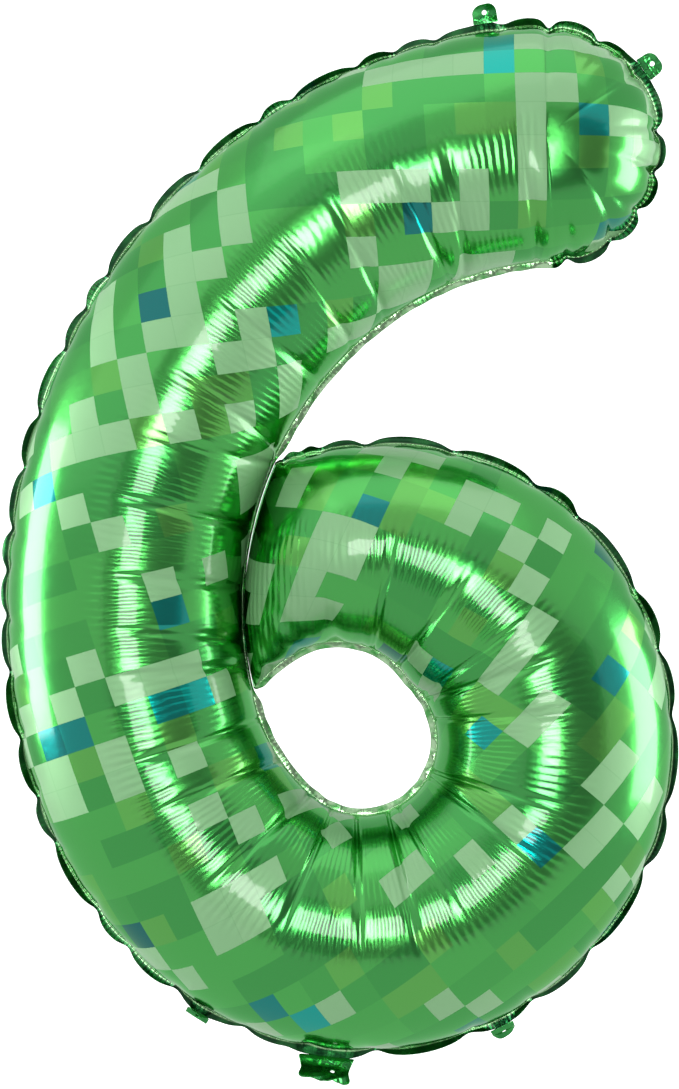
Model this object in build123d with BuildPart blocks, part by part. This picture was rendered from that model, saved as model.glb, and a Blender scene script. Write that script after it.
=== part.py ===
"""Inflated foil balloon in the shape of the digit 6, air filled, standing upright.

Millimetres. +X is the reader's right, +Z is up and the printed front faces -Y. The heat-sealed seam lies in
the plane y = 0, and the origin is under the middle of the whole balloon, at the height of its lowest point.
"""

from build123d import *
from math import cos, radians, sin
import os

# Centre line of the inflated tube, as tangent arcs from the top tip down the stem and round the loop.
START_HEADING = 183.5  # degrees anticlockwise from +X, seen from the front
STEM_TOP_RADIUS = 370.0
STEM_TOP_TURN = 39.0
STEM_RADIUS = 417.0
STEM_TURN = 64.0
STEM_FOOT_RADIUS = 258.0
STEM_FOOT_TURN = 34.0
LOOP_RADIUS = 167.0
LOOP_TURN = 136.0
LOOP_TOP_RADIUS = 171.0
LOOP_TOP_TURN = 42.0
LOOP_END_RADIUS = 169.0
LOOP_END_TURN = 100.0  # runs on into the stem, where the loop's end is cut off again

# Inflated cross-section
TUBE_HALF_WIDTH = 102.0
TUBE_HALF_DEPTH = 88.0
LOOP_END_HALF_WIDTH = 64.0  # the tube tapers to this over the last arc
LOOP_END_HALF_DEPTH = 74.0
END_ROUNDING = 62.0  # length over which the loop's end comes down to its seam
DRUM_MARGIN = 3.0  # keeps the end's rounding clear of the tube's crest
CONTACT_GAP = 1.5  # between the loop's end seam and the stem's seam

# Film and seam. The real film is 0.04 mm thick.
FILM = 0.8
SEAL_WIDTH = 6.0
SEAL_THICKNESS = 0.6

# Hanging tabs
TAB_WIDTH = 22.0
TAB_LENGTH = 17.0
TAB_CORNER = 9.0
TAB_HOLE_RADIUS = 2.2
TAB_HOLE_REACH = 9.5  # from the fold line to the hole's centre
CROWN_TAB_ANGLE = 98.5  # directions of the tabs' middles, anticlockwise from +X
TIP_TAB_ANGLE = 36.0
BASE_LEFT_TAB_ANGLE = 239.0
BASE_RIGHT_TAB_ANGLE = 296.0
BASE_LEFT_TAB_FOLD = 78.0  # how far the tabs lie folded at rest, positive towards the front
BASE_RIGHT_TAB_FOLD = -55.0

# Inflation tail and self-sealing valve
TAIL_ANGLE = 263.5
TAIL_WIDTH = 50.0
TAIL_LENGTH = 28.0
TAIL_FOLD = 35.0
TAIL_CORNER = 7.0
TAIL_SIDE_SEAL = 6.0
TAIL_HOLE_RADIUS = 2.4
TAIL_HOLE_REACH = 15.0
TAIL_HOLE_SIDE = 8.0  # from the tail's middle to the hole's centre
VALVE_WIDTH = 26.0
VALVE_LENGTH = 115.0
VALVE_FILM = 0.25
VALVE_SIDE_CLEARANCE = 1.0

# Fold lines of the tabs and the tail
FOLD_GAP = 0.3  # between a folding piece's rounded root and the seam's edge
LAND_RISE = 1.0  # straight step of the seam that a fold line runs along

OUTLINE = TUBE_HALF_WIDTH + SEAL_WIDTH  # centre line to the seam's outer edge
SEAL_HALF = SEAL_THICKNESS / 2
PLY_HALF = SEAL_HALF + FILM  # middle plane to the outside of a welded film
FOLD_REACH = OUTLINE + LAND_RISE + FOLD_GAP + PLY_HALF  # centre line to a fold line

ARCS = (
    (STEM_TOP_RADIUS, STEM_TOP_TURN),
    (STEM_RADIUS, STEM_TURN),
    (STEM_FOOT_RADIUS, STEM_FOOT_TURN),
    (LOOP_RADIUS, LOOP_TURN),
    (LOOP_TOP_RADIUS, LOOP_TOP_TURN),
    (LOOP_END_RADIUS, LOOP_END_TURN),
)
STEM_ARC = 1  # the arc that the loop's end rests against
LOOP_ARC = 3  # the arc that carries the tail and the base tabs


def front_vector(angle):
    """Unit vector in the seam plane, anticlockwise from +X seen from the front."""
    return Vector(cos(radians(angle)), 0, sin(radians(angle)))


def arc_chain(start):
    """Centre and start angle of each arc, the first one starting at the given point."""
    chain, point, heading = [], start, START_HEADING
    for radius, turn in ARCS:
        centre = point + front_vector(heading + 90) * radius
        chain.append((centre, radius, heading - 90, turn))
        heading += turn
        point = centre + front_vector(heading - 90) * radius
    return chain


def tip_start():
    """Tip's centre that puts the origin under the balloon's middle, at the level of the tail's foot."""
    chain = arc_chain(Vector(0, 0, 0))
    left = chain[STEM_ARC][0].X - STEM_RADIUS - OUTLINE
    right = max(
        chain[LOOP_ARC][0].X + LOOP_RADIUS + OUTLINE,
        chain[LOOP_ARC + 1][0].X + LOOP_TOP_RADIUS + OUTLINE,
    )
    corner_reach = (TAIL_LENGTH - TAIL_CORNER) * cos(radians(TAIL_FOLD))
    corner_side = TAIL_WIDTH / 2 - TAIL_CORNER
    down = front_vector(TAIL_ANGLE)
    corners = down * (LOOP_RADIUS + FOLD_REACH + corner_reach)
    slant = abs(front_vector(TAIL_ANGLE + 90).Z) * corner_side
    return Vector(-(left + right) / 2, 0, slant + TAIL_CORNER - corners.Z - chain[LOOP_ARC][0].Z)


START = tip_start()
CHAIN = arc_chain(START)


def along_y(centre, direction=-1):
    """Axis through a point of the seam plane, square to it."""
    return Axis(tuple(centre), (0, direction, 0))


def cross_plane(centre, angle, reach=0.0):
    """Plane square to the seam plane, its x axis pointing along angle away from centre."""
    outward = front_vector(angle)
    return Plane(centre + outward * reach, x_dir=outward, z_dir=front_vector(angle + 90))


def seam_plane(centre, angle, reach, fold=0):
    """Plane that faces the front, x across and y away from centre along angle, then folded forward about x."""
    outward = front_vector(angle)
    normal = Vector(0, -cos(radians(fold)), 0) - outward * sin(radians(fold))
    return Plane(centre + outward * reach, x_dir=front_vector(angle - 90), z_dir=normal)


def half_section(half_width, half_depth, rounded):
    """Outer half of the tube's section: half an ellipse, or a rectangle."""
    with BuildLine() as outline:
        if rounded:
            EllipticalCenterArc((0, 0), half_width, half_depth, start_angle=-90, arc_size=180)
        else:
            Polyline((0, -half_depth), (half_width, -half_depth), (half_width, half_depth), (0, half_depth))
        Line((0, half_depth), (0, -half_depth))
    make_face(outline.edges())


def full_section(half_width, half_depth, rounded):
    """Whole section of the tube."""
    if rounded:
        Ellipse(half_width, half_depth)
    else:
        Rectangle(2 * half_width, 2 * half_depth)


def end_form(margin, half_depth, rounded):
    """Body that the loop's end is kept within, turned about the stem's centre so that it follows the stem."""
    reach = STEM_RADIUS - OUTLINE - CONTACT_GAP - SEAL_WIDTH + margin
    top = half_depth + DRUM_MARGIN
    centre = CHAIN[STEM_ARC][0]
    with BuildPart() as form:
        with BuildSketch(cross_plane(centre, 180)):
            with BuildLine():
                if rounded:
                    rim = (reach - END_ROUNDING, 0)
                    Line((0, -top), (reach - END_ROUNDING, -top))
                    EllipticalCenterArc(rim, END_ROUNDING, top, start_angle=-90, arc_size=180)
                    Line((reach - END_ROUNDING, top), (0, top))
                else:
                    Polyline((0, -top), (reach, -top), (reach, top), (0, top))
                Line((0, top), (0, -top))
            make_face()
        revolve(axis=along_y(centre))
    return form.part


def loop_end_body(margin, half_depth, end_half_depth, rounded):
    """Tapered end of the loop, shaped to the stem that it rests against."""
    centre, radius, angle, turn = CHAIN[-1]
    arc_plane = Plane(centre, x_dir=front_vector(angle), z_dir=(0, -1, 0))
    with BuildPart() as loop_end:
        with BuildLine(arc_plane) as path:
            CenterArc((0, 0), radius, 0, turn)
        with BuildSketch(cross_plane(centre, angle, radius)):
            full_section(TUBE_HALF_WIDTH + margin, half_depth, rounded)
        with BuildSketch(cross_plane(centre, angle + turn, radius)):
            full_section(LOOP_END_HALF_WIDTH + margin, end_half_depth, rounded)
        sweep(path=path.line, multisection=True)
        add(end_form(margin, half_depth, rounded), mode=Mode.INTERSECT)
    return loop_end.part


def spine_body(margin, half_depth, end_half_depth, rounded=True):
    """Solid round the whole centre line, wider than the inflated tube by a margin on each side.

    It has a round tip, and its loop's end is shaped to the stem.
    """
    half_width = TUBE_HALF_WIDTH + margin
    with BuildPart() as body:
        with BuildSketch(cross_plane(START, START_HEADING - 90)):
            half_section(half_width, half_depth, rounded)
        revolve(axis=along_y(START, 1), revolution_arc=180)
        for centre, radius, angle, turn in CHAIN[:-1]:
            with BuildSketch(cross_plane(centre, angle, radius)):
                full_section(half_width, half_depth, rounded)
            revolve(axis=along_y(centre), revolution_arc=turn)
        add(loop_end_body(margin, half_depth, end_half_depth, rounded))
    return body.part


def flat_body(margin, half_thickness):
    """Flat plate of the same outline as a spine body."""
    return spine_body(margin, half_thickness, half_thickness, rounded=False)


def folding_places():
    """Centre, direction, distance of the fold line, width and rest fold of each tab and of the tail."""
    stem_centre, stem_radius = CHAIN[0][:2]
    base_centre, base_radius = CHAIN[LOOP_ARC][:2]
    crown = stem_radius + FOLD_REACH
    base = base_radius + FOLD_REACH
    return {
        "hang_tab_crown": (stem_centre, CROWN_TAB_ANGLE, crown, TAB_WIDTH, 0),
        "hang_tab_tip": (START, TIP_TAB_ANGLE, FOLD_REACH, TAB_WIDTH, 0),
        "hang_tab_base_left": (base_centre, BASE_LEFT_TAB_ANGLE, base, TAB_WIDTH, BASE_LEFT_TAB_FOLD),
        "hang_tab_base_right": (base_centre, BASE_RIGHT_TAB_ANGLE, base, TAB_WIDTH, BASE_RIGHT_TAB_FOLD),
        "tail": (base_centre, TAIL_ANGLE, base, TAIL_WIDTH, TAIL_FOLD),
    }


PLACES = folding_places()


def seam_band(inner_margin, half_thickness):
    """Flat band round the whole outline, with a straight land at each fold line."""
    with BuildPart() as band:
        add(flat_body(SEAL_WIDTH, half_thickness))
        for centre, angle, reach, width, _ in PLACES.values():
            land_edge = reach - FOLD_GAP - PLY_HALF
            with BuildSketch(seam_plane(centre, angle, land_edge)) as land:
                Rectangle(width, SEAL_WIDTH, align=(Align.CENTER, Align.MAX))
            extrude(land.sketch, half_thickness, both=True)
        add(flat_body(inner_margin, 2 * half_thickness), mode=Mode.SUBTRACT)
    return band.part


def foil_panel(side):
    """One printed film: its inflated half and its welded margin. side is -1 at the front and 1 at the back."""
    inner_depths = (TUBE_HALF_DEPTH - FILM, LOOP_END_HALF_DEPTH - FILM)
    with BuildPart() as panel:
        add(spine_body(0, TUBE_HALF_DEPTH, LOOP_END_HALF_DEPTH))
        add(spine_body(-FILM, *inner_depths), mode=Mode.SUBTRACT)
        add(seam_band(-FILM, PLY_HALF))
        with BuildSketch(Plane.XZ.offset(-side * SEAL_HALF)):
            Rectangle(4 * STEM_RADIUS, 6 * STEM_RADIUS)
        extrude(amount=-side * 2 * TUBE_HALF_DEPTH, mode=Mode.INTERSECT)
    return panel.part


with BuildPart() as front_foil:
    add(foil_panel(-1))

with BuildPart() as back_foil:
    add(foil_panel(1))

# Fused inner layers of the two films, open where the valve passes
tail_centre, tail_angle, tail_reach, _, _ = PLACES["tail"]
valve_root = tail_reach - FOLD_GAP - PLY_HALF
with BuildPart() as perimeter_seal:
    add(seam_band(0, SEAL_HALF))
    with BuildSketch(seam_plane(tail_centre, tail_angle, valve_root)) as valve_gap:
        Rectangle(VALVE_WIDTH + 2 * VALVE_SIDE_CLEARANCE, 3 * (SEAL_WIDTH + LAND_RISE))
    extrude(valve_gap.sketch, SEAL_THICKNESS, both=True, mode=Mode.SUBTRACT)


def valve_film(side):
    """One ply of the valve, against its foil and reaching into the balloon. side is -1 at the front."""
    with BuildPart() as film:
        near = seam_plane(tail_centre, tail_angle, valve_root).offset(-side * SEAL_HALF)
        with BuildSketch(near):
            Rectangle(VALVE_WIDTH, VALVE_LENGTH, align=(Align.CENTER, Align.MAX))
        extrude(amount=side * VALVE_FILM)
    return film.part


with BuildPart() as valve_film_front:
    add(valve_film(-1))

with BuildPart() as valve_film_back:
    add(valve_film(1))


def folded_plane(place):
    """Plane of a folding piece at rest: x along its fold line, y away from the balloon."""
    centre, angle, reach, _, fold = place
    return seam_plane(centre, angle, reach, fold)


def folding_root(plane, width):
    """Rounded root of a folding piece, lying on its fold line."""
    with BuildPart() as root:
        with BuildSketch(Plane(plane.origin - plane.x_dir * (width / 2), z_dir=plane.x_dir)):
            Circle(PLY_HALF)
        extrude(amount=width)
    return root.part


def tongue(width, length, corner):
    """Outline of a tab or tail, its root edge on the x axis."""
    with BuildLine() as outline:
        FilletPolyline(
            (-width / 2, 0),
            (-width / 2, length),
            (width / 2, length),
            (width / 2, 0),
            radius=corner,
        )
        Line((width / 2, 0), (-width / 2, 0))
    make_face(outline.edges())


def hang_tab(place):
    """Die-cut tab of both films welded flat, with its hanging hole."""
    plane = folded_plane(place)
    with BuildPart() as tab:
        with BuildSketch(plane) as outline:
            tongue(TAB_WIDTH, TAB_LENGTH, TAB_CORNER)
        extrude(outline.sketch, PLY_HALF, both=True)
        add(folding_root(plane, TAB_WIDTH))
        with Locations(plane):
            with Locations((0, TAB_HOLE_REACH)):
                Cylinder(TAB_HOLE_RADIUS, 4 * PLY_HALF, mode=Mode.SUBTRACT)
    return tab.part


with BuildPart() as hang_tab_crown:
    add(hang_tab(PLACES["hang_tab_crown"]))

with BuildPart() as hang_tab_tip:
    add(hang_tab(PLACES["hang_tab_tip"]))

with BuildPart() as hang_tab_base_left:
    add(hang_tab(PLACES["hang_tab_base_left"]))

with BuildPart() as hang_tab_base_right:
    add(hang_tab(PLACES["hang_tab_base_right"]))

tail_plane = folded_plane(PLACES["tail"])


def tail_ply(side):
    """One ply of the tail with its half of the rounded root. side is -1 at the front."""
    near = tail_plane.offset(-side * SEAL_HALF)
    with BuildPart() as ply:
        with BuildSketch(near):
            tongue(TAIL_WIDTH, TAIL_LENGTH, TAIL_CORNER)
        extrude(amount=-side * FILM)
        add(folding_root(tail_plane, TAIL_WIDTH))
        with BuildSketch(near) as own_side:
            Rectangle(2 * TAIL_WIDTH, 4 * TAIL_LENGTH)
        extrude(own_side.sketch, -side * 2 * PLY_HALF, mode=Mode.INTERSECT)
        with Locations(tail_plane):
            with Locations((-TAIL_HOLE_SIDE, TAIL_HOLE_REACH)):
                Cylinder(TAIL_HOLE_RADIUS, 4 * PLY_HALF, mode=Mode.SUBTRACT)
    return ply.part


# Tail: two plies, welded together along both sides and open at the mouth
with BuildPart() as tail_ply_front:
    add(tail_ply(-1))

with BuildPart() as tail_ply_back:
    add(tail_ply(1))

with BuildPart() as tail_side_seals:
    with BuildSketch(tail_plane) as strips:
        tongue(TAIL_WIDTH, TAIL_LENGTH, TAIL_CORNER)
        Rectangle(
            TAIL_WIDTH - 2 * TAIL_SIDE_SEAL,
            2 * TAIL_LENGTH,
            align=(Align.CENTER, Align.MIN),
            mode=Mode.SUBTRACT,
        )
    extrude(strips.sketch, SEAL_HALF, both=True)

PIECES = {
    "front_foil": front_foil,
    "back_foil": back_foil,
    "perimeter_seal": perimeter_seal,
    "valve_film_front": valve_film_front,
    "valve_film_back": valve_film_back,
    "hang_tab_crown": hang_tab_crown,
    "hang_tab_tip": hang_tab_tip,
    "hang_tab_base_left": hang_tab_base_left,
    "hang_tab_base_right": hang_tab_base_right,
    "tail_ply_front": tail_ply_front,
    "tail_ply_back": tail_ply_back,
    "tail_side_seals": tail_side_seals,
}

os.makedirs("parts", exist_ok=True)
for name, piece in PIECES.items():
    piece.part.label = name
    export_step(piece.part, f"parts/{name}.step")
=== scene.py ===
"""Looks of the inflated foil digit: wrinkled printed films, welded rim, tabs, tail, light and camera."""

import math

import bpy
import numpy as np
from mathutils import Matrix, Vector


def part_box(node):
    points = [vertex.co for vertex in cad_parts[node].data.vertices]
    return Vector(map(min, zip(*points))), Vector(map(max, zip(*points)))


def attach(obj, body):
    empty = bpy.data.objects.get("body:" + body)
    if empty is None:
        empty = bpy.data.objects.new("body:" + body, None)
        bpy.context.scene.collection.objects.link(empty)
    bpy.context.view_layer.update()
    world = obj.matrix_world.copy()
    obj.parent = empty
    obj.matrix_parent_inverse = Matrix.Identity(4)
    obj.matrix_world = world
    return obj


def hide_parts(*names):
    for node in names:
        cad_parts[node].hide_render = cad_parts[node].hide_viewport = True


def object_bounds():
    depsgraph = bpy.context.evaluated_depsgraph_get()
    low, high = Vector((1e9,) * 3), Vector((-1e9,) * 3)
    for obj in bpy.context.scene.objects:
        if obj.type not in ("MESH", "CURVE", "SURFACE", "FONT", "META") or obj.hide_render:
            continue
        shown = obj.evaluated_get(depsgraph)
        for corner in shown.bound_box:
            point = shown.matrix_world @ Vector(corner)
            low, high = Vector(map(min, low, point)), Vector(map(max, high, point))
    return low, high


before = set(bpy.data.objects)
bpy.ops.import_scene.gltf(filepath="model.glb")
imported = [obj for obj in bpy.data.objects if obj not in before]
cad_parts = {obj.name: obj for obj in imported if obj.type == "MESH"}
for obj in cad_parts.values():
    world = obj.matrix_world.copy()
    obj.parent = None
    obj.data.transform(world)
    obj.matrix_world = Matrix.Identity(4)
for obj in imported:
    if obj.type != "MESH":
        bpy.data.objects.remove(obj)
CAD_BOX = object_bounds()

# ---------------------------------------------------------------- centre line of the tube, in metres
START_HEADING = 183.5  # degrees anticlockwise from +X, seen from the front
ARCS = ((0.370, 39.0), (0.417, 64.0), (0.258, 34.0), (0.167, 136.0), (0.171, 42.0), (0.169, 100.0))
STEM_ARC = 1
HALF_WIDTH = 0.102
HALF_DEPTH = 0.088
END_HALF_WIDTH = 0.064  # at the end of the last arc
END_HALF_DEPTH = 0.074
RIM = 0.006
OUTLINE = HALF_WIDTH + RIM
END_ZONE_START = 41.5  # degrees of the last arc after which the loop's end closes against the stem
CONTACT_OUTER = 0.5415  # heights of the closed end's two corners
CONTACT_INNER = 0.3480
CONTACT_RIM = 0.0018  # what the two bodies leave of the weld between them

# ---------------------------------------------------------------- flat sheets that the balloon is welded from
FLAT_HALF_WIDTH = 0.1495
FLAT_TURN = 0.81  # the flat digit curls this much of what the inflated one does
CELL = 0.0268  # printed squares
RIPPLE = 0.0066  # from one fine ripple to the next


def direction(angle):
    """Unit vectors (x, z) in the seam plane, for angles in degrees."""
    a = np.radians(angle)
    return np.stack([np.cos(a), np.sin(a)], -1)


class Spine:
    """Tangent arcs from a start point, with points and cross directions along them."""

    def __init__(self, arcs, start):
        self.arcs = []
        point, heading, length = np.array(start, float), START_HEADING, 0.0
        for radius, turn in arcs:
            centre = point + direction(heading + 90) * radius
            self.arcs.append((centre, radius, heading - 90, turn, length))
            heading += turn
            length += radius * math.radians(turn)
            point = centre + direction(heading - 90) * radius
        self.length = length

    def at(self, s):
        """Points and outward cross directions at the distances s. Outward is away from the arc's centre."""
        s = np.asarray(s, float)
        point, out = np.zeros(s.shape + (2,)), np.zeros(s.shape + (2,))
        for centre, radius, angle, _, begin in self.arcs:
            here = s >= begin - 1e-9
            across = direction(angle + np.degrees((s - begin) / radius))
            point[here] = (centre + across * radius)[here]
            out[here] = across[here]
        return point, out


def place_start():
    """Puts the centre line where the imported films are."""
    low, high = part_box("front_foil")
    trial = Spine(ARCS, (0.0, 0.0))
    centre, radius = trial.arcs[STEM_ARC][:2]
    return np.array([low.x - (centre[0] - radius - OUTLINE), high.z - OUTLINE])


START = place_start()
SPINE = Spine(ARCS, START)
FLAT_ARCS = tuple(
    (FLAT_HALF_WIDTH + (radius - HALF_WIDTH) / FLAT_TURN, turn * FLAT_TURN) for radius, turn in ARCS
)
FLAT_SPINE = Spine(FLAT_ARCS, (0.0, 0.0))


def flat_distance(s):
    """Distance along the flat sheet's centre line for distances along the inflated one's."""
    knots = [arc[4] for arc in SPINE.arcs] + [SPINE.length]
    flat_knots = [arc[4] for arc in FLAT_SPINE.arcs] + [FLAT_SPINE.length]
    return np.interp(s, knots, flat_knots)


# ---------------------------------------------------------------- smooth inflated film
ALONG = 490  # lines of points along the tube
ACROSS = 44  # even, so that a column of points runs along the crest
TIP_LINES = 100  # lines of points round the tip
END_ROWS = 26  # lines of points over the closed end


class Film:
    """Grid of one film: a strip along the spine, and a fan round the tip from the strip's first line."""

    def __init__(self):
        phi = np.linspace(0, math.pi, ACROSS + 1)  # 0 on the outer weld, pi on the inner weld
        last_begin = SPINE.arcs[-1][4]
        s_end = last_begin + SPINE.arcs[-1][1] * math.radians(END_ZONE_START)
        s = np.linspace(0, s_end, ALONG)
        taper = np.clip((s - last_begin) / (SPINE.length - last_begin), 0, 1)
        width = HALF_WIDTH + (END_HALF_WIDTH - HALF_WIDTH) * taper
        depth = HALF_DEPTH + (END_HALF_DEPTH - HALF_DEPTH) * taper
        point, out = SPINE.at(s)
        side = np.cos(phi)  # +1 on the outer weld
        plane = point[:, None] + out[:, None] * (width[:, None] * side)[..., None]
        height = depth[:, None] * np.sin(phi)
        flat_point, flat_out = FLAT_SPINE.at(flat_distance(s))
        reach = FLAT_HALF_WIDTH * (1 - 2 * phi / math.pi)
        flat = flat_point[:, None] + flat_out[:, None] * reach[:, None]
        # closed end of the loop, against the stem
        tau = np.linspace(0, 1, END_ROWS + 1)[1:]
        push = np.sin(tau * math.pi / 2)[:, None, None]
        contact = self.contact_line(side)
        tangent = plane[-1] - plane[-2]
        tangent /= np.linalg.norm(tangent, axis=1)[:, None]
        middle = plane[-1] + tangent * np.linalg.norm(contact - plane[-1], axis=1)[:, None] * 0.5
        end_plane = (1 - push) ** 2 * plane[-1] + 2 * push * (1 - push) * middle + push**2 * contact
        end_height = height[-1] * np.cos(tau * math.pi / 2)[:, None]
        flat_tangent = flat[-1] - flat[-2]
        flat_tangent /= np.linalg.norm(flat_tangent, axis=1)[:, None]
        end_lines = np.concatenate([self.join(plane[-1:], height[-1:]), self.join(end_plane, end_height)])
        steps = np.linalg.norm(np.diff(end_lines, axis=0), axis=-1)
        end_flat = flat[-1] + flat_tangent * np.cumsum(steps, 0)[..., None]
        plane = np.concatenate([plane, end_plane])
        height = np.concatenate([height, end_height])
        flat = np.concatenate([flat, end_flat])
        self.rows = len(plane)
        strip = self.join(plane, height)
        # fan round the tip: lines from the crest to the weld
        half = ACROSS // 2
        angles = START_HEADING - 90 - 180 * np.arange(1, TIP_LINES) / TIP_LINES
        ray = direction(angles)
        fan_phi = phi[half + 1 :]
        fan_side = -np.cos(fan_phi)
        fan_plane = START + ray[:, None] * (HALF_WIDTH * fan_side)[:, None]
        fan_height = np.broadcast_to(HALF_DEPTH * np.sin(fan_phi), fan_plane.shape[:2])
        fan = self.join(fan_plane, fan_height)
        fan_flat = ray[:, None] * (FLAT_HALF_WIDTH * (2 * fan_phi / math.pi - 1))[:, None]
        self.points = np.concatenate([strip.reshape(-1, 3), fan.reshape(-1, 3)])
        self.flat = np.concatenate([flat.reshape(-1, 2), fan_flat.reshape(-1, 2)])
        self.index(half)

    @staticmethod
    def join(plane, height):
        """Points of the front film: the seam plane is y = 0, and the front is at negative y."""
        return np.stack([plane[..., 0], -height, plane[..., 1]], -1)

    @staticmethod
    def contact_line(side):
        """The loop's end weld, from the outer corner (side 1) to the inner one, along the stem's arc."""
        centre, radius = SPINE.arcs[STEM_ARC][:2]
        reach = radius - HALF_WIDTH - 2 * CONTACT_RIM
        z = CONTACT_INNER + (CONTACT_OUTER - CONTACT_INNER) * (side + 1) / 2
        x = centre[0] - np.sqrt(reach**2 - (z - centre[1]) ** 2)
        return np.stack([x, z], -1)

    def index(self, half):
        """Vertex numbers of the grid, the fan, the quads, the tip's triangles and the welds."""
        columns = ACROSS + 1
        self.grid = np.arange(self.rows * columns).reshape(self.rows, columns)
        fan = self.rows * columns + np.arange((TIP_LINES - 1) * half).reshape(TIP_LINES - 1, half)
        pole = self.grid[0, half]
        # lines of the fan, from the strip's outer half to its inner half
        first = self.grid[0, half - 1 :: -1]
        last = self.grid[0, half + 1 :]
        self.fan = np.concatenate([first[None], fan, last[None]])
        g, f = self.grid, self.fan
        quads = np.stack([g[:-1, :-1], g[1:, :-1], g[1:, 1:], g[:-1, 1:]], -1).reshape(-1, 4)
        fan_quads = np.stack([f[:-1, :-1], f[1:, :-1], f[1:, 1:], f[:-1, 1:]], -1).reshape(-1, 4)
        self.quads = np.concatenate([quads, fan_quads])
        self.triangles = np.stack([np.full(TIP_LINES, pole), f[1:, 0], f[:-1, 0]], -1)
        self.inner_weld = g[:, -1]
        self.outer_weld = g[:, 0]
        self.tip_weld = f[1:-1, -1]
        self.end_weld = g[-1]


# ---------------------------------------------------------------- wrinkles: the film relaxes under pressure
SEED = 6
BACK_SEED = 9
PASSES = 320
PRESSURE = 0.00001  # outward step of each pass, in metres
MOMENTUM = 0.86
START_NOISE = 0.00015
NORMALS_EVERY = 4  # passes between new normals
FAR_SHARE = 0.97  # how near second neighbours may come, as a share of their rest length
FAR_PULL = 0.25
OVERSTEP = 2.0  # of the mean of a point's pulls
HOLD = 0.0013  # pull towards the creased shape in each pass
TIP_HOLD = 0.02
OUTER_HOLD = 0.010
OUTER_HOLD_END = 0.42  # share of the way across where the stronger outer hold ends
TIP_RAMP = 0.03  # distance over which the tip's own values come in
OUTER_SPARE = 0.055  # spare length along the outer weld
INNER_SPARE = 0.065  # spare length along the tube from the crest to the inner weld
INNER_SPARE_START = 0.47
SPARE_FADE = 0.03
TIP_SPARE_FADE = 0.04  # added to it at the tip
TIP_SMOOTHING = 60
TIP_SMOOTH_REACH = 0.045
CREST_SMOOTH_REACH = 0.022
SCALLOP = 0.0014  # how far the outer weld bulges between its pinch places
PINCH_SPACING = (0.026, 0.054)
PINCH_DEPTH = (0.0018, 0.0042)
PINCH_REACH = 0.0045
TIP_PINCH = 1.7  # depth of the tip's pinches, beside the others
LONG_SPACING = (0.040, 0.078)  # creases from the crest to the inner weld
LONG_BEGIN = (0.38, 0.50)  # share of the way across where each begins
LONG_GROWTH = 0.28  # share of the way across in which each grows to its full depth
LONG_LEAN = (-0.06, 0.06)
LONG_SIZE = (0.0030, 0.0062)
LONG_WIDTH = (0.0035, 0.0065)
SHORT_LENGTH = (0.11, 0.24)  # creases at the pinches, as shares of the way across
SHORT_LEAN = (-0.08, 0.08)
SHORT_SIZE = (0.0028, 0.0052)
SHORT_WIDTH = 0.0035
SMALL_SPACING = (0.012, 0.030)  # smaller ones between them
SMALL_STRENGTH = (0.2, 0.6)
TIP_CREASE = 1.9  # length and size of the tip's creases, beside the others
TIP_WIDENING = 0.002
SOFT_BOTTOM = 0.001  # rounds off a crease's bottom


def crease_places(total, low, high, rng):
    """Distances along a weld where creases start."""
    places, at = [], low * 0.5
    while at < total:
        places.append(at)
        at += rng.uniform(low, high)
    return np.array(places)


def edges_between(a, b):
    return np.stack([a.ravel(), b.ravel()], -1)


def film_edges(film):
    """Pairs of points that keep their distance: near ones with the diagonals, and second neighbours."""
    close, far = [], []
    for g in (film.grid, film.fan):
        close += [edges_between(g[:-1], g[1:]), edges_between(g[:, :-1], g[:, 1:])]
        close += [edges_between(g[:-1, :-1], g[1:, 1:]), edges_between(g[1:, :-1], g[:-1, 1:])]
        far += [edges_between(g[:-2], g[2:]), edges_between(g[:, :-2], g[:, 2:])]
    pole = film.grid[0, ACROSS // 2]
    close.append(edges_between(np.full(TIP_LINES + 1, pole), film.fan[:, 0]))
    return np.concatenate(close), np.concatenate(far)


def along_vectors(film):
    """Unit vector along the tube at each point."""
    along = np.zeros_like(film.points)
    for g in (film.fan, film.grid):
        step = np.gradient(film.points[g], axis=0)
        along[g.ravel()] = (step / np.maximum(np.linalg.norm(step, axis=-1), 1e-9)[..., None]).reshape(-1, 3)
    return along


def places_on_film(film):
    """Each point's share of the way from the outer weld (0) to the inner one (1), and its distance along."""
    share, run = np.zeros(len(film.points)), np.zeros(len(film.points))
    rows = np.linalg.norm(np.diff(film.points[film.grid[:, ACROSS // 2]], axis=0), axis=1)
    share[film.grid] = np.linspace(0, 1, ACROSS + 1)
    run[film.grid] = np.concatenate([[0], np.cumsum(rows)])[:, None]
    half = ACROSS // 2
    inner = film.fan[1:-1]
    share[inner] = 0.5 - 0.5 * np.arange(1, half + 1) / half
    run[inner] = -np.linspace(0, math.pi * HALF_WIDTH, TIP_LINES + 1)[1:-1, None]
    return share, run


def normals_of(points, corners):
    """Outward normals at the points, weighted by area."""
    a, b, c = points[corners[:, 0]], points[corners[:, 1]], points[corners[:, 2]]
    n = np.cross(b - a, c - a)
    total = np.zeros_like(points)
    for k in range(3):
        for axis in range(3):
            total[:, axis] += np.bincount(corners[:, k], n[:, axis], len(points))
    return total / np.maximum(np.linalg.norm(total, axis=1), 1e-12)[:, None]


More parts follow.
